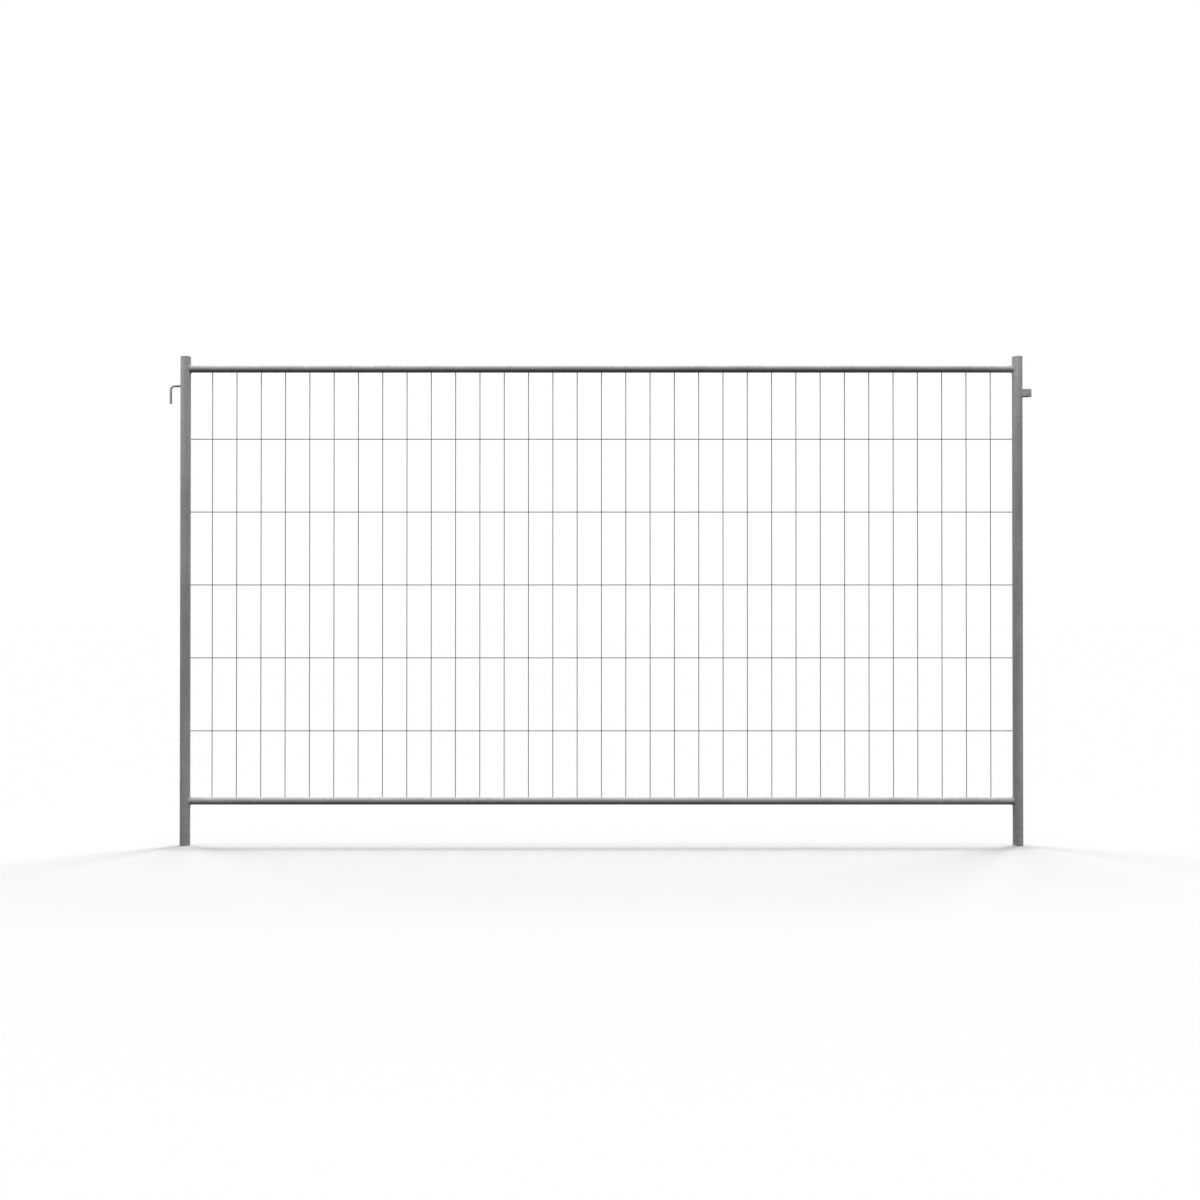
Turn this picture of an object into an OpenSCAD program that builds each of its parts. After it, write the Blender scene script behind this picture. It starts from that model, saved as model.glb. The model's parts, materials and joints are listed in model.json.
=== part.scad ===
// Temporary fence panel for building sites: two tubular posts joined by two rails, a welded wire
// mesh lapped on the back of that frame, and a hook and an eye that couple neighbouring panels.
// The origin is on the ground midway between the posts. X runs along the panel with the hook at
// the low end, the mesh lies on the +Y side, and Z is up.

/* [Posts and rails] */
// Length of the panel over the outsides of its two posts
panel_l = 3450; // [1200:50:4000]
// Height of the posts, from the ground to their open tops
post_h = 2000; // [1200:50:2400]
// Outside diameter of the post tubes
post_d = 41.5; // [38:0.5:60]
// Wall of the post tubes
post_wall = 1.5; // [1:0.1:3]
// Outside diameter of the rail tubes
rail_d = 30; // [20:0.5:34]
// Wall of the rail tubes
rail_wall = 1.2; // [1:0.1:2.5]
// Height of the bottom rail's axis above the ground
bottom_rail_z = 180; // [100:5:300]
// Drop from the tops of the posts to the top rail's axis
top_rail_drop = 50; // [30:5:90]

/* [Mesh] */
// Diameter of the vertical wires
vertical_d = 3.5; // [2.5:0.1:5]
// Diameter of the horizontal wires
horizontal_d = 4; // [2.5:0.1:6]
// Spacing of the vertical wires
vertical_pitch = 100; // [80:5:200]
// Spacing of the horizontal wires
horizontal_pitch = 300; // [200:10:400]
// How far each wire runs on past the axis of the tube that it is welded to
wire_lap = 9; // [2:0.5:14]

/* [Hook] */
// Diameter of the bent rod
hook_d = 10; // [6:0.5:14]
// Clear gap between the post and the hook's leg, for the neighbour's eye
hook_gap = 35; // [25:1:60]
// Centre-line radius of the rod's bend
hook_bend_r = 15; // [12:1:20]
// Drop from the arm's axis to the tip of the leg
hook_drop = 73; // [40:1:120]
// Drop from the top of the post to the arm's axis
hook_top_drop = 120; // [100:5:300]
// Chamfer on the rod's free end
hook_chamfer = 1; // [0.5:0.1:2]

/* [Eye] */
// Clear width of the loop, across the panel
eye_w = 26; // [20:1:30]
// Clear reach of the loop, from the post to the inside of its crown
eye_reach = 33; // [20:1:50]
// Height of the flat bar that the loop is bent from
eye_h = 30; // [20:1:50]
// Thickness of that flat bar
eye_t = 4; // [3:0.5:5]
// Drop from the top of the post to the top of the loop
eye_top_drop = 134; // [100:2:300]

/* [Welds] */
// Leg of the fillet welds between the tubes, the hook, the eye and the posts
weld_leg = 3; // [1.5:0.1:3.4]

/* [Hidden] */
$fn = 64;
// How far each cut runs past what it cuts
overrun = 1;
// Clearance that keeps a bead's flats off the round tubes behind them
weld_gap = 0.05;
// Least distance from a tube's axis to the first wire beside it, as a share of the wires' spacing
edge_share = 0.6;
// How far a bead's face is pressed in from a full quarter round, as a share of its leg
weld_flat_share = 0.1;
// Sections round a rail's bead, and round the hook's
rail_weld_rings = 48;
hook_weld_rings = 32;
// Steps across a bead's seat on the post, and over its rounded face
seat_steps = 6;
face_steps = 4;

post_r = post_d / 2;
rail_r = rail_d / 2;
vertical_r = vertical_d / 2;
horizontal_r = horizontal_d / 2;
hook_r = hook_d / 2;
post_span = panel_l - post_d;
post_x = post_span / 2;
top_rail_z = post_h - top_rail_drop;
rail_span = top_rail_z - bottom_rail_z;
mesh_mid_z = (top_rail_z + bottom_rail_z) / 2;

// The layers of the panel, from the back: horizontal wires against the backs of the posts,
// vertical wires in front of them, and the rails against the fronts of the vertical wires
horizontal_y = post_r + horizontal_r;
vertical_y = horizontal_y - horizontal_r - vertical_r;
rail_y = vertical_y - vertical_r - rail_r;

// As many wires as the frame has room for, centred in it
vertical_count = floor(post_span / vertical_pitch - 2 * edge_share) + 1;
horizontal_count = floor(rail_span / horizontal_pitch - 2 * edge_share) + 1;
function vertical_x(i) = vertical_pitch * (i - (vertical_count + 1) / 2);
function horizontal_z(i) = mesh_mid_z + horizontal_pitch * (i - (horizontal_count + 1) / 2);
vertical_l = rail_span + 2 * wire_lap;
horizontal_l = post_span + 2 * wire_lap;

hook_z = post_h - hook_top_drop;
hook_reach = post_r + hook_gap + hook_r;
hook_leg_l = hook_drop - hook_bend_r - hook_chamfer;
eye_z = post_h - eye_top_drop - eye_h;
eye_in_r = eye_w / 2;
eye_out_r = eye_in_r + eye_t;
eye_crown_x = post_r + eye_reach - eye_in_r;
// Where the outer faces of the loop's legs meet the post
eye_root_x = sqrt(max(0, pow(post_r, 2) - pow(eye_out_r, 2)));

steel = "#8d9093";
wire = "#a3a6a8";
bead = "#7c7f82";

function vertical_wire_name(i) = str("vertical_wire_", i < 10 ? "0" : "", i);
function horizontal_wire_name(i) = str("horizontal_wire_", i);

// A round bar along X, centred on the origin
module bar_along_x(r, l) {
    rotate([0, 90, 0]) cylinder(r = r, h = l, center = true);
}

// The solid outline of a post, longer at both ends, that pieces welded to it are cut with
module post_cutter() {
    translate([0, 0, -overrun]) cylinder(r = post_r, h = post_h + 2 * overrun);
}

// An open-ended tube standing on the ground
module post(x) {
    color(steel) translate([x, 0, 0]) difference() {
        cylinder(r = post_r, h = post_h);
        translate([0, 0, -overrun]) cylinder(r = post_r - post_wall, h = post_h + 2 * overrun);
    }
}

// A tube between the posts, its ends coped to sit round them
module rail(z) {
    color(steel) difference() {
        translate([0, rail_y, z]) bar_along_x(rail_r, post_span);
        translate([0, rail_y, z]) bar_along_x(rail_r - rail_wall, post_span + 2 * overrun);
        for (x = [-post_x, post_x]) translate([x, 0, 0]) post_cutter();
    }
}

module vertical_wire(i) {
    color(wire) translate([vertical_x(i), vertical_y, bottom_rail_z - wire_lap])
        cylinder(r = vertical_r, h = vertical_l);
}

module horizontal_wire(i) {
    color(wire) translate([0, horizontal_y, horizontal_z(i)]) bar_along_x(horizontal_r, horizontal_l);
}

// A rod that leaves the left post level, turns down through a quarter bend and ends in a leg
module coupling_hook() {
    color(steel) difference() {
        translate([-post_x, 0, hook_z]) {
            translate([hook_bend_r - hook_reach, 0, 0]) rotate([0, 90, 0])
                cylinder(r = hook_r, h = hook_reach - hook_bend_r);
            translate([hook_bend_r - hook_reach, 0, -hook_bend_r]) rotate([90, 0, 0])
                rotate_extrude(start = 90, angle = 90) translate([hook_bend_r, 0]) circle(r = hook_r);
            translate([-hook_reach, 0, -hook_bend_r - hook_leg_l]) cylinder(r = hook_r, h = hook_leg_l);
            translate([-hook_reach, 0, -hook_drop])
                cylinder(r1 = hook_r - hook_chamfer, r2 = hook_r, h = hook_chamfer);
        }
        translate([-post_x, 0, 0]) post_cutter();
    }
}

// The outline of a loop's inside or outside: a half round at the crown, and two legs to the post
module eye_outline(r, h) {
    translate([eye_crown_x, 0, 0]) cylinder(r = r, h = h);
    translate([0, -r, 0]) cube([eye_crown_x, 2 * r, h]);
}

// Flat bar bent to a U, with its legs cut to sit on the right post
module coupling_eye() {
    color(steel) translate([post_x, 0, 0]) difference() {
        translate([0, 0, eye_z]) eye_outline(eye_out_r, eye_h);
        translate([0, 0, eye_z - overrun]) eye_outline(eye_in_r, eye_h + 2 * overrun);
        post_cutter();
    }
}

// Distance from a post's axis to its surface, along X, where a tube meets it y off that axis
function seat_x(y) = sqrt(max(0, pow(post_r + weld_gap, 2) - pow(y, 2)));

// A fillet's outline in shares of its leg, as [out from the tube, along the tube]: the seat on the
// post from the root to the toe, then the rounded face back to the toe on the tube
weld_shares = concat(
    [for (j = [0 : seat_steps]) [j / seat_steps, 0]],
    [for (j = [1 : face_steps]) let (a = 90 * j / face_steps, s = 1 - weld_flat_share * sin(2 * a))
        [s * cos(a), s * sin(a)]]
);

// The fillet's outline at the angle a round a tube of radius r whose axis lies tube_y behind the post's
function weld_section(r, tube_y, a) = [
    for (w = weld_shares)
        let (out = r + weld_gap + w[0] * weld_leg, y = tube_y + out * cos(a))
            [seat_x(y) + w[1] * weld_leg, y, out * sin(a)]
];

// A bead that follows the saddle curve where a tube along +X meets a post on the Z axis
module saddle_weld(r, tube_y, rings) {
    m = len(weld_shares);
    points = [for (i = [0 : rings - 1]) each weld_section(r, tube_y, 360 * i / rings)];
    faces = [
        for (i = [0 : rings - 1], j = [0 : m - 1])
            let (a = i * m + j, b = i * m + (j + 1) % m)
            let (c = (i + 1) % rings * m + (j + 1) % m, d = (i + 1) % rings * m + j)
                each [[a, b, c], [a, c, d]]
    ];
    color(bead) polyhedron(points = points, faces = faces);
}

module left_rail_weld(z) {
    translate([-post_x, 0, z]) saddle_weld(rail_r, rail_y, rail_weld_rings);
}

module right_rail_weld(z) {
    mirror([1, 0, 0]) left_rail_weld(z);
}

module hook_weld() {
    translate([-post_x, 0, hook_z]) mirror([1, 0, 0]) saddle_weld(hook_r, 0, hook_weld_rings);
}

// Two upright beads in the corners between the post and the outer faces of the eye's legs
module eye_welds() {
    color(bead) translate([post_x, 0, 0]) difference() {
        for (side = [-1, 1])
            translate([eye_root_x, side * eye_out_r, eye_z]) cylinder(r = weld_leg, h = eye_h);
        translate([0, 0, eye_z - overrun]) eye_outline(eye_out_r, eye_h + 2 * overrun);
        post_cutter();
    }
}

post(-post_x);  // left_post
post(post_x);  // right_post
rail(top_rail_z);  // top_rail
rail(bottom_rail_z);  // bottom_rail
coupling_hook();
coupling_eye();
left_rail_weld(top_rail_z);  // top_left_weld
right_rail_weld(top_rail_z);  // top_right_weld
left_rail_weld(bottom_rail_z);  // bottom_left_weld
right_rail_weld(bottom_rail_z);  // bottom_right_weld
hook_weld();
eye_welds();
for (i = [1 : vertical_count])
    vertical_wire(i);
for (i = [1 : horizontal_count])
    horizontal_wire(i);
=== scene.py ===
# %% [markdown]
# # A temporary fence panel
#
# This is the panel that closes off a building site: two posts, two rails between them, a wire mesh
# welded to the back of that frame, a hook on the left post and an eye on the right one. Its
# construction comes from a CAD model, so every tube and wire already has its true size and place.
# In this lesson it gets its looks: a camera, a studio, zinc finishes, finely made tubes and wires, and
# the welds that hold it together. All lengths are in metres, and the panel stands on the ground with
# its length along X.

# %% Load the panel as a fixed frame
import json
import math
import random

import bmesh
import bpy
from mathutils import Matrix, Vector


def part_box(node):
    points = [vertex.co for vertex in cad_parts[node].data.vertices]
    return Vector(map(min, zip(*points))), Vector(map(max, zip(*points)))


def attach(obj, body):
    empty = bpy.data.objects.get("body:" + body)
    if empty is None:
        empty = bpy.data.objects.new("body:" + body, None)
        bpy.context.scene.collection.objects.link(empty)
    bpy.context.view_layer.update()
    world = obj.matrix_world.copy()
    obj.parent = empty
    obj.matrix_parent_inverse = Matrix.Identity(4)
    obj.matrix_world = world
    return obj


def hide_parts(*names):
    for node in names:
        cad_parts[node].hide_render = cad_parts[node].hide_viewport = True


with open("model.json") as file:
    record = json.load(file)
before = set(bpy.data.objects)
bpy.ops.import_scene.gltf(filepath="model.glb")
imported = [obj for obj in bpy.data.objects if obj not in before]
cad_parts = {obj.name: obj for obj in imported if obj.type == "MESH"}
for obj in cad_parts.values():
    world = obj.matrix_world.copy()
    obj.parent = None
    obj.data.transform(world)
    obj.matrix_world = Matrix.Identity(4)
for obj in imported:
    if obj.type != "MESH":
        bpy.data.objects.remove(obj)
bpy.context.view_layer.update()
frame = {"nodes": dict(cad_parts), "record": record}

MM = 0.001
BODY = "root"

# %% [markdown]
# ## Sort the pieces and measure them
#
# A welded panel has only a few kinds of piece, each used many times. Sorting them by name lets one
# finish serve a whole kind. The sizes that the tubes and welds need later are read from the frame and
# not typed in again, so a change to the CAD model carries over to everything made here.

# %% The kinds of piece
pieces = frame["nodes"]
posts = ["left_post", "right_post"]
rails = ["bottom_rail", "top_rail"]
uprights = sorted(name for name in pieces if name.startswith("vertical_wire"))
crosswires = sorted(name for name in pieces if name.startswith("horizontal_wire"))
print(len(uprights), "upright wires and", len(crosswires), "crosswires")


# %% Their sizes
def middle(name):
    """The middle of a CAD piece's box."""
    low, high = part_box(name)
    return (low + high) / 2


def extent(name):
    """The length of a CAD piece along X, Y and Z."""
    low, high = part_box(name)
    return high - low


mounts = {mount["name"]: mount for mount in frame["record"]["mounts"]}
post_r = extent("left_post").x / 2
bore_r = mounts["left_post_bore"]["dims"]["r_mm"] * MM
hook_r = mounts["hook_leg"]["dims"]["r_mm"] * MM
rail_r = extent("top_rail").z / 2
upright_r = extent(uprights[0]).x / 2
crosswire_r = extent(crosswires[0]).z / 2
weld_leg = (extent("top_left_weld").z - 2 * rail_r) / 2
print("Post, rail, upright and crosswire radii in mm:",
      [round(r / MM, 2) for r in (post_r, rail_r, upright_r, crosswire_r)])

# %% [markdown]
# ## The view
#
# Catalogue pictures of such panels are taken square on and from half the panel's height, so that the
# posts stay upright and the rails level. A lens close to 35 mm from just under five metres away
# leaves the wide white margins. The camera is aimed at a point by a track quaternion, which keeps it
# level without working out angles by hand.

# %% Place the camera
SENSOR = 36.0
LENS = 35.16
VIEW_DISTANCE = 4.8
EYE_HEIGHT = 0.978
AIM = Vector((-0.006, 0.0, 1.0027))

camera_data = bpy.data.cameras.new("square_on_view")
camera_data.sensor_width = SENSOR
camera_data.lens = LENS
camera = bpy.data.objects.new("square_on_view", camera_data)
camera.location = (AIM.x, -VIEW_DISTANCE, EYE_HEIGHT)
camera.rotation_mode = "QUATERNION"
camera.rotation_quaternion = (AIM - camera.location).to_track_quat("-Z", "Y")
bpy.context.scene.collection.objects.link(camera)
bpy.context.scene.camera = camera
bpy.context.scene.view_settings.view_transform = "Standard"
print("The picture is", round(VIEW_DISTANCE * SENSOR / LENS, 2), "m wide where the panel stands")

# %% [markdown]
# ## Helpers for node trees
#
# Blender's materials and its surroundings are both trees of nodes. One helper adds a node, sets its
# plain values and links the sockets that come from other nodes, so that each finish below reads as a
# short list of what it is made of.


# %% Adding nodes
def add_node(tree, kind, inputs=None, **settings):
    """A new node in the tree. An input that is another node's socket is linked, and others are set."""
    made = tree.nodes.new("ShaderNode" + kind)
    for name, value in settings.items():
        setattr(made, name, value)
    for name, value in (inputs or {}).items():
        if isinstance(value, bpy.types.NodeSocket):
            tree.links.new(value, made.inputs[name])
        else:
            made.inputs[name].default_value = value
    return made


def calculate(tree, operation, first, second):
    """The result of a sum on two numbers or sockets."""
    return add_node(tree, "Math", {0: first, 1: second}, operation=operation).outputs[0]


def ramp(tree, value, start, end, low=0.0, high=1.0):
    """A value that runs from low to high while the one given runs from start to end, and stops there."""
    inputs = {"Value": value, "From Min": start, "From Max": end, "To Min": low, "To Max": high}
    return add_node(tree, "MapRange", inputs).outputs[0]


def seen_by_eye(tree):
    """One where a ray comes from the camera, a reflection or a clear material, and zero elsewhere."""
    path = add_node(tree, "LightPath").outputs
    seen = calculate(tree, "MAXIMUM", path["Is Camera Ray"], path["Is Glossy Ray"])
    return calculate(tree, "MAXIMUM", seen, path["Is Transmission Ray"])


print("Node helpers:", [helper.__name__ for helper in (add_node, calculate, ramp, seen_by_eye)])

# %% [markdown]
# ## A white studio
#
# The panel stands in a white room without edges. A real white room throws so much light back that
# the undersides of the rails would turn pale, so the room is split in two by the kind of ray. What the
# camera and the reflections see is white, and what lights the panel by bouncing is dim. The floor keeps
# a matt part, because the faint shadows at the feet are what sets the panel on the ground, and a glow
# of its own makes up what the lamps leave short of white.

# %% The surroundings
WHITE = (1.0, 1.0, 1.0, 1.0)
SHOWN_ROOM = 1.0
DIM_ROOM = 0.02

surroundings = bpy.data.worlds.new("white_studio")
surroundings.use_nodes = True
bpy.context.scene.world = surroundings
tree = surroundings.node_tree
tree.nodes.clear()
shown_room = add_node(tree, "Background", {"Color": WHITE, "Strength": SHOWN_ROOM})
dim_room = add_node(tree, "Background", {"Color": WHITE, "Strength": DIM_ROOM})
room = add_node(tree, "MixShader",
                {0: seen_by_eye(tree), 1: dim_room.outputs[0], 2: shown_room.outputs[0]})
add_node(tree, "OutputWorld", {"Surface": room.outputs[0]})
print("The room's own light is", DIM_ROOM, "of what the camera sees")

# %% The floor's paint
FLOOR_GREY = 0.856
FLOOR_GLOW = 0.02
FLOOR_BOUNCE = 0.03

floor_paint = bpy.data.materials.new("pale_floor")
floor_paint.use_nodes = True
tree = floor_paint.node_tree
tree.nodes.clear()
glow = add_node(tree, "Emission", {"Color": WHITE, "Strength": FLOOR_GLOW})
matt = add_node(tree, "BsdfDiffuse", {"Color": (FLOOR_GREY, FLOOR_GREY, FLOOR_GREY, 1.0)})
shown_floor = add_node(tree, "AddShader", {0: matt.outputs[0], 1: glow.outputs[0]})
dim_floor = add_node(tree, "BsdfDiffuse", {"Color": (FLOOR_BOUNCE, FLOOR_BOUNCE, FLOOR_BOUNCE, 1.0)})
floor_mix = add_node(tree, "MixShader",
                     {0: seen_by_eye(tree), 1: dim_floor.outputs[0], 2: shown_floor.outputs[0]})
add_node(tree, "OutputMaterial", {"Surface": floor_mix.outputs[0]})
print("The floor's paint is", FLOOR_GREY, "grey with a glow of", FLOOR_GLOW)

# %% The floor
FLOOR_REACH = 60.0

floor_corners = [(-FLOOR_REACH, -FLOOR_REACH, 0), (FLOOR_REACH, -FLOOR_REACH, 0),
                 (FLOOR_REACH, FLOOR_REACH, 0), (-FLOOR_REACH, FLOOR_REACH, 0)]
floor_mesh = bpy.data.meshes.new("floor")
floor_mesh.from_pydata(floor_corners, [], [(0, 1, 2, 3)])
floor_mesh.materials.append(floor_paint)
floor = bpy.data.objects.new("floor", floor_mesh)
bpy.context.scene.collection.objects.link(floor)
print("The floor is", 2 * FLOOR_REACH, "m across")

# %% [markdown]
# ## The lamps
#
# The faint streaks at the feet run outwards and forwards from both posts, so two lamps stand behind the
# panel, one to each side, far enough away to light both ends alike. A sun lamp with a wide angle gives
# that even, soft light. Two more, overhead and straight behind, soften the line of shadow under the
# bottom rail, and two weak ones fill in from the right and from the front. A long strip above the front
# draws a bright line along the tops of both rails. A softbox from the upper left cools the flanks that
# face it and fades towards the ground because it is near. Three small ones lift both feet and the top
# of the right post, and grids in front of them keep their light off the rest. In a studio, flags keep
# near lamps and fills off the floor, where they would leave bright pools and wash out the shadows.
# Here light linking does that.

# %% A flag that keeps lamps off the floor
flagged = bpy.data.collections.new("flagged_floor")
flagged.objects.link(floor)
flagged.collection_objects[0].light_linking.link_state = "EXCLUDE"

# %% Two kinds of lamp
NEUTRAL = (1.0, 1.0, 1.0)
COOL = (0.93, 0.95, 1.0)
FAR_AWAY = 10.0
NO_GRID = 180


def add_lamp(name, kind, place, aim, colour, flag):
    """A lamp turned towards the point that it is aimed at, and kept off the floor where flag is set."""
    data = bpy.data.lights.new(name, kind)
    data.color = colour
    lamp = bpy.data.objects.new(name, data)
    lamp.location = place
    lamp.rotation_mode = "QUATERNION"
    lamp.rotation_quaternion = (Vector(aim) - Vector(place)).to_track_quat("-Z", "Y")
    lamp.visible_camera = False
    bpy.context.scene.collection.objects.link(lamp)
    if flag:
        lamp.light_linking.receiver_collection = flagged
    return data


def soft_sun(name, azimuth, elevation, strength, spread, flag=False):
    """A far lamp. The azimuth turns from behind the panel towards its right, in degrees."""
    turn = math.radians(azimuth)
    rise = math.radians(elevation)
    towards = Vector((math.sin(turn) * math.cos(rise), math.cos(turn) * math.cos(rise), math.sin(rise)))
    data = add_lamp(name, "SUN", FAR_AWAY * towards, (0, 0, 0), NEUTRAL, flag)
    data.energy = strength
    data.angle = math.radians(spread)
    print(name, "stands", azimuth, "degrees round and", elevation, "degrees up")


def softbox(name, place, aim, width, height, power, colour=NEUTRAL, grid=NO_GRID):
    """A near lamp with a flat glowing front, whose light a grid may narrow to so many degrees."""
    data = add_lamp(name, "AREA", place, aim, colour, flag=True)
    data.shape = "RECTANGLE"
    data.size = width
    data.size_y = height
    data.spread = math.radians(grid)
    data.energy = power
    print(name, "is", width, "by", height, "m and", power, "W")


# %% Light the panel
softbox("front_strip", place=(0.0, -1.6, 5.5), aim=(0.0, -0.2, 1.2),
        width=8.0, height=1.2, power=265)
softbox("upper_left_softbox", place=(-3.6, -0.9, 3.2), aim=(-1.7, 0.0, 1.5),
        width=1.2, height=1.6, power=48, colour=COOL)
softbox("lower_right_softbox", place=(3.2, -1.6, 0.6), aim=(1.7, 0.0, 0.35),
        width=0.6, height=1.0, power=1.3, grid=55)
softbox("upper_right_softbox", place=(1.0, -1.9, 2.5), aim=(1.95, 0.0, 1.98),
        width=0.4, height=0.4, power=0.36, grid=24)
softbox("lower_left_softbox", place=(-0.7, -1.9, 0.7), aim=(-1.95, 0.0, 0.15),
        width=0.4, height=0.4, power=0.23, grid=28)
soft_sun("back_right_lamp", azimuth=46, elevation=56, strength=1.35, spread=18)
soft_sun("back_left_lamp", azimuth=-58, elevation=56, strength=0.9, spread=18)
soft_sun("back_lamp", azimuth=0, elevation=54, strength=0.8, spread=32)
soft_sun("overhead_lamp", azimuth=0, elevation=88, strength=1.0, spread=30)
soft_sun("right_fill", azimuth=108, elevation=26, strength=0.5, spread=40, flag=True)
soft_sun("front_fill", azimuth=180, elevation=42, strength=0.4, spread=37, flag=True)

# %% [markdown]
# ## Zinc
#
# The whole frame is dipped in molten zinc after welding. On a site it soon loses its shine and turns a
# dull mid grey, with the crystals of the zinc, called spangle, still showing on the tubes as flat
# patches about a centimetre across. A picture could be wrapped round the tubes, but a pattern worked
# out by nodes in the object's own space leaves no seam, and its scale is given in real millimetres.
# Cells give the spangle, slow noise the weathering, and stretched noise the marks that rain leaves.

# %% Patterns to build with
MIDDLE = 0.5


def centred(tree, pattern, share):
    """A pattern between zero and one, moved to lie round zero and scaled down to its share."""
    return calculate(tree, "MULTIPLY", calculate(tree, "SUBTRACT", pattern, MIDDLE), share)


def noise(tree, place, size, detail):
    """Cloudy noise whose patches are about as large as the size given."""
    cloud = add_node(tree, "TexNoise", {"Vector": place, "Scale": 1.0 / size, "Detail": detail})
    return cloud.outputs[0]


def stretched(tree, place, along, factor):
    """The same place with one axis squeezed, so that a pattern there is drawn out along it."""
    scale = [1.0, 1.0, 1.0]
    scale["XYZ".index(along)] = 1.0 / factor
    return add_node(tree, "Mapping", {"Vector": place, "Scale": scale}).outputs[0]


def blended(tree, share, first, second):
    """A colour between two others."""
    inputs = {"Factor": share, "A": first, "B": second}
    return add_node(tree, "Mix", inputs, data_type="RGBA").outputs["Result"]


print("Pattern helpers:", [helper.__name__ for helper in (centred, noise, stretched, blended)])

# %% The crystals
FERN_FINENESS = 40.0


def spangle_pattern(tree, place, size):
    """Zinc crystals: a tone for each one, the fern-like lines inside it, and the way that it leans."""
    cells = add_node(tree, "TexVoronoi", {"Vector": place, "Scale": 1.0 / size})
    chance = cells.outputs["Color"]
    tone = add_node(tree, "SeparateColor", {0: chance}).outputs[0]
    lean = add_node(tree, "VectorMath", {0: chance, 1: (MIDDLE, MIDDLE, MIDDLE)}, operation="SUBTRACT")
    inside = add_node(tree, "VectorMath", {0: place, 1: cells.outputs["Position"]}, operation="SUBTRACT")
    slope = add_node(tree, "VectorMath", {0: inside.outputs[0], 1: lean.outputs[0]},
                     operation="DOT_PRODUCT").outputs["Value"]
    ferns = add_node(tree, "TexNoise", {"W": slope, "Scale": FERN_FINENESS / size, "Detail": 2.0},
                     noise_dimensions="1D").outputs[0]
    return tone, ferns, slope


print("Each crystal has a tone, a lean and ferns of fineness", FERN_FINENESS)

# %% Places where the zinc has changed
DUST = (0.42, 0.4, 0.36, 1.0)
DUST_COVER = 0.7
DUST_PATCH = 14 * MM
DUST_RANGE = (0.42, 0.7)
RUB_CORE = 0.4
SCRATCH_PATCH = 3 * MM
SCRATCH_RANGE = (0.35, 0.65)


def splashed(tree, place, height):
    """Dust that rain has thrown up from the ground, thick at the foot and gone at the height given."""
    up = add_node(tree, "SeparateXYZ", {0: place}).outputs["Z"]
    low_down = ramp(tree, up, 0.0, height, 1.0, 0.0)
    specks = ramp(tree, noise(tree, place, DUST_PATCH, detail=6.0), *DUST_RANGE)
    return calculate(tree, "MULTIPLY", calculate(tree, "MULTIPLY", low_down, specks), DUST_COVER)


def rubbed(tree, place, centre, reach):
    """Bright metal where a neighbour's fitting rubs, broken up by noise and fading with distance."""
    away = add_node(tree, "VectorMath", {0: place, 1: centre}, operation="DISTANCE").outputs["Value"]
    near = ramp(tree, away, RUB_CORE * reach, reach, 1.0, 0.0)
    scratches = ramp(tree, noise(tree, place, SCRATCH_PATCH, detail=5.0), *SCRATCH_RANGE)
    return calculate(tree, "MULTIPLY", near, scratches)


print("Dust is", DUST[:3], "and covers the zinc by up to", DUST_COVER)

# %% How pale the zinc is
MEAN_TONE = 0.47
PATCH_SHARE = 0.8
STREAK_SHARE = 0.4
STREAK_STRETCH = 30.0
STREAKS_A_CRYSTAL = 3
BLOOM_SHARE = 0.2
BLOOM_CRYSTALS = 2.5
BLOOM_RANGE = (0.6, 0.75)


def rain_streaks(tree, place, crystal, along):
    """Thin marks drawn out along one axis, several to the width of a crystal."""
    drawn_out = stretched(tree, place, along, STREAK_STRETCH)
    return noise(tree, drawn_out, crystal / STREAKS_A_CRYSTAL, detail=2.0)


def white_bloom(tree, place, crystal):
    """Scattered chalky spots, each a few crystals across."""
    return ramp(tree, noise(tree, place, BLOOM_CRYSTALS * crystal, detail=6.0), *BLOOM_RANGE)


def zinc_tone(tree, patterns, bloom):
    """How pale the zinc is: patterns laid round a mean tone, each with its share, and bloom on top."""
    tone = MEAN_TONE
    for pattern, share in patterns:
        tone = calculate(tree, "ADD", tone, centred(tree, pattern, share))
    return calculate(tree, "ADD", tone, calculate(tree, "MULTIPLY", bloom, BLOOM_SHARE))


print("The mean tone of the zinc is", MEAN_TONE, "of the way from dark to pale")

# %% The relief of the zinc
GRAIN_DEPTH = 0.04 * MM
GRAINS_A_CRYSTAL = 4
CRYSTAL_LEAN = 0.05


def zinc_relief(tree, place, crystal, slope):
    """The fine grain of the coating and the lean of its crystals, as a bent normal."""
    grain = noise(tree, place, crystal / GRAINS_A_CRYSTAL, detail=4.0)
    relief = calculate(tree, "ADD", calculate(tree, "MULTIPLY", grain, GRAIN_DEPTH),
                       calculate(tree, "MULTIPLY", slope, CRYSTAL_LEAN))
    height = calculate(tree, "DIVIDE", relief, MM)
    return add_node(tree, "Bump", {"Height": height, "Distance": MM}).outputs[0]


print("The grain is", round(GRAIN_DEPTH / MM, 2), "mm deep")

# %% The zinc finish
ZINC_DARK = (0.222, 0.223, 0.225)
ZINC_PALE = (0.402, 0.404, 0.408)
ZINC_GLOSS = 0.22
DULL_ROUGHNESS = 0.4
SHINY_ROUGHNESS = 0.26
BLOOM_DULLS = 0.12
DUST_DULLS = 0.3
RUB_METAL = 0.6
CLEAR_CRYSTALS = 0.3


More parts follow.
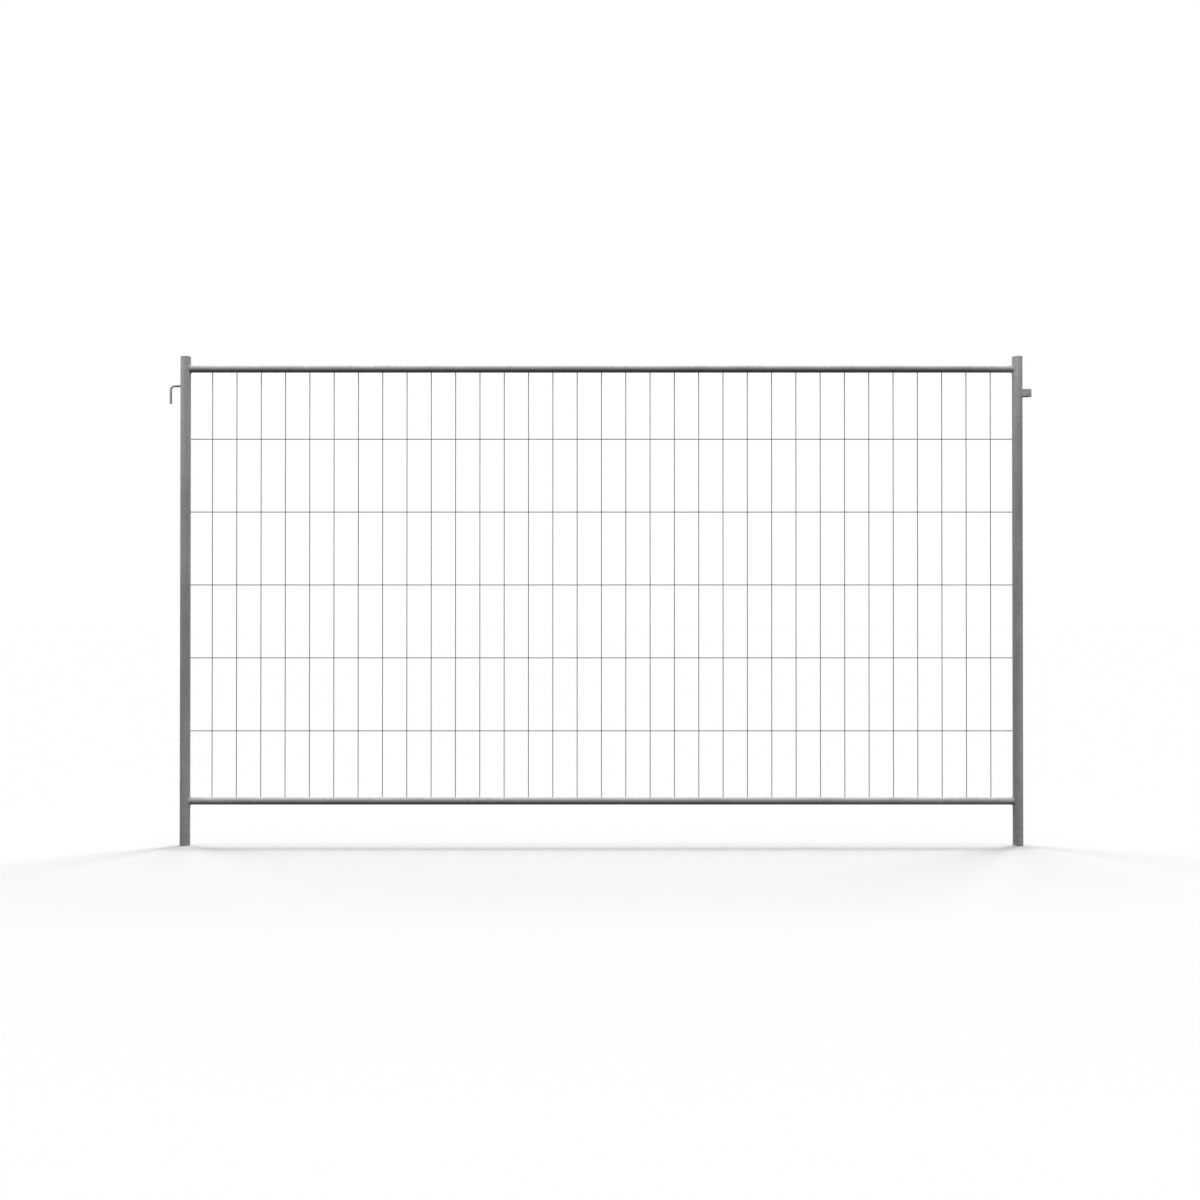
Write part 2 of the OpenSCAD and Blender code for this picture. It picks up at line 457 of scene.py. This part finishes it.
def zinc_finish(name, crystal, patch, streak_axis,
                contrast=CLEAR_CRYSTALS, shade=1.0, splash=None, rub=None):
    """Weathered zinc with crystals of one size, slow patches of another, and streaks along one axis.

    The splash is a height up to which it is dusty, and the rub a centre and a reach of bright metal."""
    finish = bpy.data.materials.new(name)
    finish.use_nodes = True
    tree = finish.node_tree
    tree.nodes.clear()
    place = add_node(tree, "TexCoord").outputs["Object"]

    crystal_tone, ferns, slope = spangle_pattern(tree, place, crystal)
    patches = noise(tree, place, patch, detail=5.0)
    streaks = rain_streaks(tree, place, crystal, streak_axis)
    bloom = white_bloom(tree, place, crystal)
    tone = zinc_tone(tree, [(crystal_tone, contrast), (ferns, contrast),
                            (patches, PATCH_SHARE), (streaks, STREAK_SHARE)], bloom)
    dark = [shade * part for part in ZINC_DARK] + [1.0]
    pale = [shade * part for part in ZINC_PALE] + [1.0]
    colour = blended(tree, tone, dark, pale)
    dullness = ramp(tree, tone, 0.0, 1.0, DULL_ROUGHNESS, SHINY_ROUGHNESS)
    dullness = calculate(tree, "ADD", dullness, calculate(tree, "MULTIPLY", bloom, BLOOM_DULLS))

    bent_normal = zinc_relief(tree, place, crystal, slope)
    shader = add_node(tree, "BsdfPrincipled", {
        "Normal": bent_normal, "Specular IOR Level": ZINC_GLOSS, "Metallic": 0.0})
    if splash:
        dusty = splashed(tree, place, splash)
        colour = blended(tree, dusty, colour, DUST)
        dullness = calculate(tree, "ADD", dullness, calculate(tree, "MULTIPLY", dusty, DUST_DULLS))
    if rub:
        bright = rubbed(tree, place, *rub)
        colour = blended(tree, bright, colour, pale)
        tree.links.new(calculate(tree, "MULTIPLY", bright, RUB_METAL), shader.inputs["Metallic"])
    tree.links.new(colour, shader.inputs["Base Color"])
    tree.links.new(dullness, shader.inputs["Roughness"])
    add_node(tree, "OutputMaterial", {"Surface": shader.outputs[0]})
    print("Made the finish", name)
    return finish


# %% Finishes for tubes and fittings
TUBE_CRYSTAL = 9 * MM
TUBE_PATCH = 160 * MM
SPLASH_HEIGHT = 160 * MM
FITTING_CRYSTAL = 5 * MM
FITTING_PATCH = 60 * MM
HOOK_RUB = 30 * MM
EYE_RUB = 26 * MM

hook_bend = Vector((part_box("coupling_hook")[0].x, 0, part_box("coupling_hook")[1].z))
eye_crown = Vector((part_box("coupling_eye")[1].x, 0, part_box("coupling_eye")[1].z))
post_zinc = zinc_finish("post_zinc", TUBE_CRYSTAL, TUBE_PATCH, "Z", splash=SPLASH_HEIGHT)
rail_zinc = zinc_finish("rail_zinc", TUBE_CRYSTAL, TUBE_PATCH, "X")
hook_zinc = zinc_finish("hook_zinc", FITTING_CRYSTAL, FITTING_PATCH, "Z", rub=(hook_bend, HOOK_RUB))
eye_zinc = zinc_finish("eye_zinc", FITTING_CRYSTAL, FITTING_PATCH, "Z", rub=(eye_crown, EYE_RUB))

hook_mesh = pieces["coupling_hook"].data
hook_mesh.materials.clear()
hook_mesh.materials.append(hook_zinc)
print("The hook keeps its CAD shape, with", len(hook_mesh.polygons), "faces")

# %% Finishes for wires and welds
FAINT_CRYSTALS = 0.2
WIRE_CRYSTAL = 1.5 * MM
WIRE_PATCH = 90 * MM
WIRE_SHADE = 0.75
BEAD_CRYSTAL = 2 * MM
BEAD_PATCH = 20 * MM
BEAD_SHADE = 0.95

upright_zinc = zinc_finish("upright_zinc", WIRE_CRYSTAL, WIRE_PATCH, "Z", FAINT_CRYSTALS, WIRE_SHADE)
crosswire_zinc = zinc_finish("crosswire_zinc", WIRE_CRYSTAL, WIRE_PATCH, "X", FAINT_CRYSTALS, WIRE_SHADE)
bead_zinc = zinc_finish("bead_zinc", BEAD_CRYSTAL, BEAD_PATCH, "Z", FAINT_CRYSTALS, BEAD_SHADE)

# %% [markdown]
# ## Making a piece from rings of points
#
# Everything else on this panel is round in one way or another: turned like a tube, drawn out like a wire
# or swept along a seam like a weld. Blender's own cylinders have sharp rims and no say in where their
# edges lie. Here a piece is a row of rings of points instead, and one helper lays a skin over them. A
# second helper turns that skin into a smooth mesh and hides the CAD pieces that it stands for.


# %% Skin over rings
def skin(rings, closed=False):
    """Points and faces over rings of points, with flat ends unless the last ring meets the first."""
    count = len(rings[0])
    points = [point for ring in rings for point in ring]
    faces = []
    for step in range(len(rings) if closed else len(rings) - 1):
        here = step * count
        there = (step + 1) % len(rings) * count
        for side in range(count):
            beside = (side + 1) % count
            faces.append((here + side, here + beside, there + beside, there + side))
    if not closed:
        faces.append(tuple(range(count)))
        faces.append(tuple(range(len(points) - count, len(points))))
    return points, faces


def gathered(forms):
    """Several skins as one list of points and one of faces."""
    points = []
    faces = []
    for some_points, some_faces in forms:
        faces += [tuple(len(points) + corner for corner in face) for face in some_faces]
        points += some_points
    return points, faces


print("A ring of 4 points and another make", len(skin([[0] * 4, [1] * 4])[1]), "faces")


# %% From skin to piece
def add_piece(name, form, finish, stands_for=()):
    """A smooth mesh that rides on the panel, in place of the CAD pieces that it stands for."""
    mesh = bpy.data.meshes.new(name)
    points, faces = form
    mesh.from_pydata([tuple(point) for point in points], [], faces)
    shape = bmesh.new()
    shape.from_mesh(mesh)
    bmesh.ops.recalc_face_normals(shape, faces=shape.faces)
    shape.to_mesh(mesh)
    shape.free()
    mesh.shade_smooth()
    mesh.materials.append(finish)
    piece = bpy.data.objects.new(name, mesh)
    bpy.context.scene.collection.objects.link(piece)
    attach(piece, BODY)
    if stands_for:
        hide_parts(*stands_for)


print("Every piece made here rides on", BODY)

# %% [markdown]
# ## The posts
#
# A post is a length of welded steel tube. A saw cuts it square, and the zinc then rounds the rims, so
# that light catches them as a thin line. On the inside a low ridge runs the whole length, where the strip
# of steel that the tube was rolled from was welded shut. A bevelled cylinder could have the rims but not
# the ridge, so the tube is a profile turned round an axis: up the outside, over the rim, down the inside
# and under the foot. Extra rings just short of the rims keep the smooth shading of the long walls from
# bending towards them.

# %% Rounded rims
RIM_STEPS = 5
BESIDE_RIM = 1.5 * MM


def rounded_rim(rounding):
    """Pairs for a quarter round, from the flat end to the wall: how deep, and how far in from the wall."""
    turns = [math.pi / 2 * step / RIM_STEPS for step in range(RIM_STEPS + 1)]
    pairs = [(rounding * (1 - math.cos(turn)), rounding * (1 - math.sin(turn))) for turn in turns]
    return pairs + [(rounding + BESIDE_RIM, 0.0)]


def wall_stations(length, radius, rounding, spacing):
    """Distances and radii along a wall whose two ends are rounded by the same amount."""
    start = [(deep, radius - inset) for deep, inset in rounded_rim(rounding)]
    end = [(length - deep, r) for deep, r in reversed(start)]
    spans = max(1, round(length / spacing))
    between = [(length * step / spans, radius) for step in range(1, spans)]
    return start + between + end


print("A rim takes", len(rounded_rim(MM)), "rings")

# %% Turn a profile round a line
UP = Vector((0, 0, 1))
SIDEWAYS = Vector((1, 0, 0))


def turned(start, along, stations, sides, swell=None):
    """Rings round a line. Each station is a distance along it and a radius, which swell may change."""
    aside = along.orthogonal().normalized()
    across = along.cross(aside)
    rings = []
    for distance, radius in stations:
        ring = []
        for step in range(sides):
            turn = math.tau * step / sides
            towards = math.cos(turn) * aside + math.sin(turn) * across
            reach = radius + (swell(towards, radius) if swell else 0.0)
            ring.append(start + distance * along + reach * towards)
        rings.append(ring)
    return rings


print("Turned upwards, 8 sides make a ring of", len(turned(Vector(), UP, [(0.0, 1.0)], 8)[0]), "points")

# %% Turn the posts
POST_SIDES = 160
POST_RIM = 0.4 * MM
POST_SPACING = 250 * MM
SEAM_HEIGHT = 0.45 * MM
SEAM_WIDTH = 1.3 * MM


def inner_seam(towards, radius):
    """How far the tube's weld seam stands in from the bore, on the side that faces the mesh."""
    if radius > (post_r + bore_r) / 2:
        return 0.0
    along_bore = radius * math.atan2(towards.x, towards.y)
    return -SEAM_HEIGHT * math.exp(-(along_bore / SEAM_WIDTH) ** 2)


for name in posts:
    foot = middle(name) * Vector((1, 1, 0))
    height = extent(name).z
    outside = wall_stations(height, post_r, POST_RIM, POST_SPACING)
    inside = [(distance, bore_r + (post_r - r)) for distance, r in reversed(outside)]
    rings = turned(foot, UP, outside + inside, POST_SIDES, inner_seam)
    add_piece(name + "_tube", skin(rings, closed=True), post_zinc, [name])
    print(name, "is turned from", len(rings), "rings")

# %% [markdown]
# ## The rails
#
# A rail is a smaller tube whose ends are coped: cut to the curve of the post, so that they sit on it
# without a gap. A boolean cut could do that, but it leaves ragged faces. Instead each point of an end
# ring is pushed along X until it touches the post, which works out the cope exactly. The rings next to
# the ends follow the same curve, and those between fade to a plain circle at the middle of the rail.


# %% The wall of a CAD piece
def wall(name, outer_r, centre, along):
    """How thick a tube or a bent bar is, to a tenth of a millimetre, as its CAD mesh has flat facets.

    It is the outer radius less the distance of the nearest point from a line through the centre."""
    corners = [pieces[name].matrix_world @ vertex.co - centre for vertex in pieces[name].data.vertices]
    nearest = min((corner - corner.dot(along) * along).length for corner in corners)
    return round((outer_r - nearest) / MM, 1) * MM


rail_wall = wall("top_rail", rail_r, middle("top_rail"), SIDEWAYS)
print("The rails' wall is", round(rail_wall / MM, 2), "mm")

# %% Cope the rails
RAIL_SIDES = 96
RAIL_SPANS = 12
BESIDE_COPE = 2 * MM
post_x = middle("right_post").x


def post_reach(y):
    """How far the side of a post stands out from its axis, at one place across it."""
    return math.sqrt(max(0.0, post_r ** 2 - y ** 2))


def rail_ring(share, inset, radius, axis):
    """A ring at a share of the rail's length, or by that inset from its coped end where it is 0 or 1."""
    ring = []
    for step in range(RAIL_SIDES):
        turn = math.tau * step / RAIL_SIDES
        y = axis.y + radius * math.cos(turn)
        end = post_x - post_reach(y) - inset
        ring.append(Vector(((2 * share - 1) * end, y, axis.z + radius * math.sin(turn))))
    return ring


for name in rails:
    axis = middle(name)
    spots = [(0, 0), (0, BESIDE_COPE)]
    spots += [(step / RAIL_SPANS, 0) for step in range(1, RAIL_SPANS)]
    spots += [(1, BESIDE_COPE), (1, 0)]
    outside = [rail_ring(share, inset, rail_r, axis) for share, inset in spots]
    inside = [rail_ring(share, inset, rail_r - rail_wall, axis) for share, inset in reversed(spots)]
    add_piece(name + "_tube", skin(outside + inside, closed=True), rail_zinc, [name])
    print(name, "is coped at both ends and has", len(outside), "rings outside")

# %% [markdown]
# ## The mesh wires
#
# The wires are drawn steel, cropped to length in a shear and dipped with the frame, so their ends are cut
# square and softened by zinc. A curve with a round bevel would leave those ends sharp, so the wires are
# turned like the posts, but solid. Each stays a piece of its own, as it was before the welding machine
# joined them.

# %% Draw the wires
WIRE_SIDES = 24
WIRE_END = 0.5 * MM
UPRIGHT_SPACING = 300 * MM
CROSSWIRE_SPACING = 200 * MM


def draw_wire(name, along, radius, spacing, finish):
    """A straight wire with softened ends, in the place of the CAD wire of that name."""
    length = extent(name).dot(along)
    start = middle(name) - along * length / 2
    rings = turned(start, along, wall_stations(length, radius, WIRE_END, spacing), WIRE_SIDES)
    add_piece(name + "_drawn", skin(rings), finish, [name])


for name in uprights:
    draw_wire(name, UP, upright_r, UPRIGHT_SPACING, upright_zinc)
for name in crosswires:
    draw_wire(name, SIDEWAYS, crosswire_r, CROSSWIRE_SPACING, crosswire_zinc)
print("Drew", len(uprights) + len(crosswires), "wires")

# %% [markdown]
# ## The eye
#
# The eye is a flat bar bent into a U, with its two legs cut to the curve of the post. A strip thickened by
# a modifier would have sharp edges, and rolled bar never has them, so its section is a rectangle with
# rounded corners. The section is carried along the legs and round the crown, and the two end rings are
# pushed onto the post in the same way as the rails.

# %% The size of the eye
eye_low, eye_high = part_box("coupling_eye")
eye_half = (eye_high.y - eye_low.y) / 2
bar_height = eye_high.z - eye_low.z
crown_x = eye_high.x - eye_half
bar_z = (eye_low.z + eye_high.z) / 2
eye_bar = wall("coupling_eye", eye_half, Vector((crown_x, 0, bar_z)), UP)
crown_r = eye_half - eye_bar / 2
print("The bar is", round(eye_bar / MM, 1), "by", round(bar_height / MM, 1), "mm")

# %% The section of the bar
BAR_EDGE = 0.8 * MM
EDGE_STEPS = 4
FLAT_SHARES = (0.5, 0.0, -0.5)


def bar_section():
    """Points round the bar: across its thickness from the middle, and up from its middle."""
    half_thick = eye_bar / 2
    half_high = bar_height / 2
    points = []
    for quarter, (side, level) in enumerate(((1, 1), (-1, 1), (-1, -1), (1, -1))):
        corner_u = side * (half_thick - BAR_EDGE)
        corner_v = level * (half_high - BAR_EDGE)
        for step in range(EDGE_STEPS + 1):
            turn = math.pi / 2 * (quarter + step / EDGE_STEPS)
            points.append((corner_u + BAR_EDGE * math.cos(turn), corner_v + BAR_EDGE * math.sin(turn)))
        if side == level:
            points.append((0.0, level * half_high))
        else:
            points += [(side * half_thick, share * corner_v) for share in FLAT_SHARES]
    return points


section = bar_section()
print("The section has", len(section), "points")

# %% Bend the eye
CROWN_STEPS = 28
LEG_STEPS = 4


def leg_ring(side, share):
    """A ring of one leg, from the post at share 0 to the crown at share 1."""
    ring = []
    for u, v in section:
        y = side * (crown_r + u)
        root = post_x + post_reach(y)
        ring.append(Vector((root + share * (crown_x - root), y, bar_z + v)))
    return ring


def crown_ring(turn):
    """A ring of the round crown, turned from the back leg to the front one."""
    return [Vector((crown_x + (crown_r + u) * math.sin(turn), (crown_r + u) * math.cos(turn), bar_z + v))
            for u, v in section]


shares = [step / LEG_STEPS for step in range(LEG_STEPS)]
rings = [leg_ring(1, share) for share in shares]
rings += [crown_ring(math.pi * step / CROWN_STEPS) for step in range(CROWN_STEPS + 1)]
rings += [leg_ring(-1, share) for share in reversed(shares)]
add_piece("coupling_eye_strap", skin(rings), eye_zinc, ["coupling_eye"])
print("The eye is bent through", len(rings), "rings")

# %% [markdown]
# ## The weld beads
#
# A welder runs a bead round each joint by hand. The melt freezes puddle by puddle, so a bead looks like a
# row of overlapping coins, curved like crescents, a little uneven and with a lump where it starts and
# stops. A torus could stand for it, but a rail on a post meets it along a saddle and not along a circle.
# So each ring of the bead is laid out as shares of the weld's leg, outwards on the post and along the
# rail, and a function turns those shares into a place on the two surfaces. The edges reach a little into
# the metal, as a weld does.

# %% One section of a bead
FACE_STEPS = 8
SEATED = 0.06
BULGE = 1.5
PUDDLE_LENGTH = 2.6 * MM
RINGS_A_PUDDLE = 6
PUDDLE_RISE = 0.16
PUDDLE_ROUNDING = 2.5
CRESCENT = 0.35


def bead_outline(phase, size):
    """Shares of the leg across a bead: the root, then its face from one edge to the other."""
    outline = [(-SEATED, -SEATED)]
    for step in range(FACE_STEPS + 1):
        across = step / FACE_STEPS
        turn = across * math.pi / 2
        lag = CRESCENT * 4 * across * (1 - across)
        puddle = 1 - abs(2 * ((phase - lag) % 1.0) - 1) ** PUDDLE_ROUNDING
        reach = size * (1 - PUDDLE_RISE + PUDDLE_RISE * puddle) + SEATED
        outline.append((reach * math.cos(turn) ** BULGE - SEATED,
                        reach * math.sin(turn) ** BULGE - SEATED))
    return outline


print("A bead's outline has", len(bead_outline(0.0, 1.0)), "points")

# %% The welder's hand
WANDER_SIZE = 0.025
WANDER_WAVES = (2, 5, 9)
WANDER_RANGE = (0.6, 1.4)


def hand_wander(luck):
    """A slow, uneven change of a bead's size along its length, given as a share of it."""
    waves = [(luck.uniform(*WANDER_RANGE) * count, luck.uniform(0, math.tau)) for count in WANDER_WAVES]
    return lambda share: sum(WANDER_SIZE * math.sin(math.tau * rate * share + shift)
                             for rate, shift in waves)


print("A bead's size wanders by up to", WANDER_SIZE * len(WANDER_WAVES), "of itself")

# %% Beads round the rails and the hook
BEAD_SIZE = 0.97
START_SWELL = 0.03
START_LUMP = 0.14
RAIL_SEED = 21
HOOK_SEED = 30


def saddle_bead(name, seed, side, axis, tube_r):
    """A bead round a tube that runs off from a post, to the right where side is 1 and left where -1.

    The axis is where the middle lines of the tube and the post cross, seen from the front."""
    luck = random.Random(seed)
    puddles = round(math.tau * (tube_r + weld_leg / 2) / PUDDLE_LENGTH)
    wander = hand_wander(luck)
    start = luck.uniform(0, math.tau)
    rings = []
    for step in range(puddles * RINGS_A_PUDDLE):
        phase = step / RINGS_A_PUDDLE
        share = phase / puddles
        from_start = abs((share + 0.5) % 1.0 - 0.5) * math.tau * tube_r
        fading = math.cos(math.pi * share) ** 2
        lump = START_LUMP * math.exp(-(from_start / PUDDLE_LENGTH) ** 2)
        size = BEAD_SIZE + fading * START_SWELL + wander(share) + lump
        turn = start + math.tau * share
        ring = []
        for out_share, along_share in bead_outline(phase, size):
            out = tube_r + out_share * weld_leg
            y = axis.y + out * math.cos(turn)
            along = post_reach(y) + along_share * weld_leg
            ring.append(Vector((axis.x + side * along, y, axis.z + out * math.sin(turn))))
        rings.append(ring)
    add_piece(name + "_bead", skin(rings, closed=True), bead_zinc, [name])
    print(name, "has", puddles, "puddles")


rail_ends = [(level, end, side)
             for level in ("top", "bottom") for end, side in (("left", 1), ("right", -1))]
for seed, (level, end, side) in enumerate(rail_ends, RAIL_SEED):
    rail = middle(level + "_rail")
    saddle_bead(f"{level}_{end}_weld", seed, side, Vector((-side * post_x, rail.y, rail.z)), rail_r)
hook_root = middle("hook_weld")
saddle_bead("hook_weld", HOOK_SEED, -1, Vector((-post_x, hook_root.y, hook_root.z)), hook_r)

# %% Beads beside the eye
BEAD_END = 0.2
END_BLUNTNESS = 8
BACK_SEED = 31
FRONT_SEED = 32


def eye_bead(side, seed):
    """An upright bead in the corner between one leg of the eye and the post, drawn in at both ends."""
    wander = hand_wander(random.Random(seed))
    low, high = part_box("eye_welds")
    puddles = round((high.z - low.z) / PUDDLE_LENGTH)
    corner = math.asin(eye_half / post_r)
    steps = puddles * RINGS_A_PUDDLE
    rings = []
    for step in range(steps + 1):
        share = step / steps
        drawn_in = max(BEAD_END, 1 - abs(2 * share - 1) ** END_BLUNTNESS)
        size = drawn_in * (BEAD_SIZE + wander(share))
        ring = []
        for out_share, along_share in bead_outline(step / RINGS_A_PUDDLE, size):
            turn = corner + out_share * weld_leg / post_r
            x = post_x + post_r * math.cos(turn) + along_share * weld_leg
            ring.append(Vector((x, side * post_r * math.sin(turn), low.z + share * (high.z - low.z))))
        rings.append(ring)
    return skin(rings)


eye_beads = gathered([eye_bead(1, BACK_SEED), eye_bead(-1, FRONT_SEED)])
add_piece("eye_welds_beads", eye_beads, bead_zinc, ["eye_welds"])
print("The eye has a bead on each leg")

# %% [markdown]
# ## The spot welds
#
# A machine welds the mesh: it presses two wires together, sends a current through and lets go. What is
# left at each crossing is a small collar of squeezed-out metal under zinc, which fills the four corners
# of the cross. Where the wires lie on the tubes there is a flatter one. Spheres would hide inside the
# wires, so each weld is a low cushion drawn out towards the corners, with its size and turn left to
# chance. All the welds of one crosswire, rail or post are one piece.

# %% One spot weld
SPOT_SIDES = 16
SPOT_LAYERS = 7
SPOT_CORNERS = 4
SPOT_CHANCE = 0.12
SPOT_TURN = 0.15
SPOT_STEEPNESS = 80


def spot_weld(place, half_size, drawn_out, luck):
    """A low cushion round a contact, whose outline is drawn out by a share towards its corners."""
    grown = [length * luck.uniform(1 - SPOT_CHANCE, 1 + SPOT_CHANCE) for length in half_size]
    askew = luck.uniform(-SPOT_TURN, SPOT_TURN)
    rings = []
    for layer in range(SPOT_LAYERS):
        rise = math.radians(-SPOT_STEEPNESS + 2 * SPOT_STEEPNESS * layer / (SPOT_LAYERS - 1))
        ring = []
        for step in range(SPOT_SIDES):
            turn = math.tau * step / SPOT_SIDES
            reach = math.cos(rise) * (1 - drawn_out * math.cos(SPOT_CORNERS * (turn + askew)))
            offset = (grown[0] * reach * math.cos(turn), grown[1] * math.sin(rise),
                      grown[2] * reach * math.sin(turn))
            ring.append(place + Vector(offset))
        rings.append(ring)
    return skin(rings)


print("A spot weld has", SPOT_SIDES * SPOT_LAYERS, "points")

# %% Weld the mesh
CROSSING = (2.9 * MM, 1.5 * MM, 3.0 * MM)
CROSSING_DRAWN_OUT = 0.18
ON_RAIL = (3.0 * MM, 1.1 * MM, 4.2 * MM)
ON_POST = (4.6 * MM, 1.1 * MM, 3.3 * MM)
ON_TUBE_DRAWN_OUT = 0.1
SPOT_SEED = 7
luck = random.Random(SPOT_SEED)


def weld_row(name, places, half_size, drawn_out):
    """The spot welds at a row of places, as one piece."""
    form = gathered([spot_weld(place, half_size, drawn_out, luck) for place in places])
    add_piece(name, form, bead_zinc)
    print(name, "has", len(places), "spot welds")


upright_back = middle(uprights[0]).y + upright_r
upright_front = middle(uprights[0]).y - upright_r
for name in crosswires:
    level = middle(name).z
    places = [Vector((middle(upright).x, upright_back, level)) for upright in uprights]
    weld_row(name.replace("horizontal_wire", "crossing_welds"), places, CROSSING, CROSSING_DRAWN_OUT)
for name in rails:
    level = middle(name).z
    places = [Vector((middle(upright).x, upright_front, level)) for upright in uprights]
    weld_row(name + "_lap_welds", places, ON_RAIL, ON_TUBE_DRAWN_OUT)
for name in posts:
    places = [Vector((middle(name).x, post_r, middle(wire).z)) for wire in crosswires]
    weld_row(name + "_lap_welds", places, ON_POST, ON_TUBE_DRAWN_OUT)
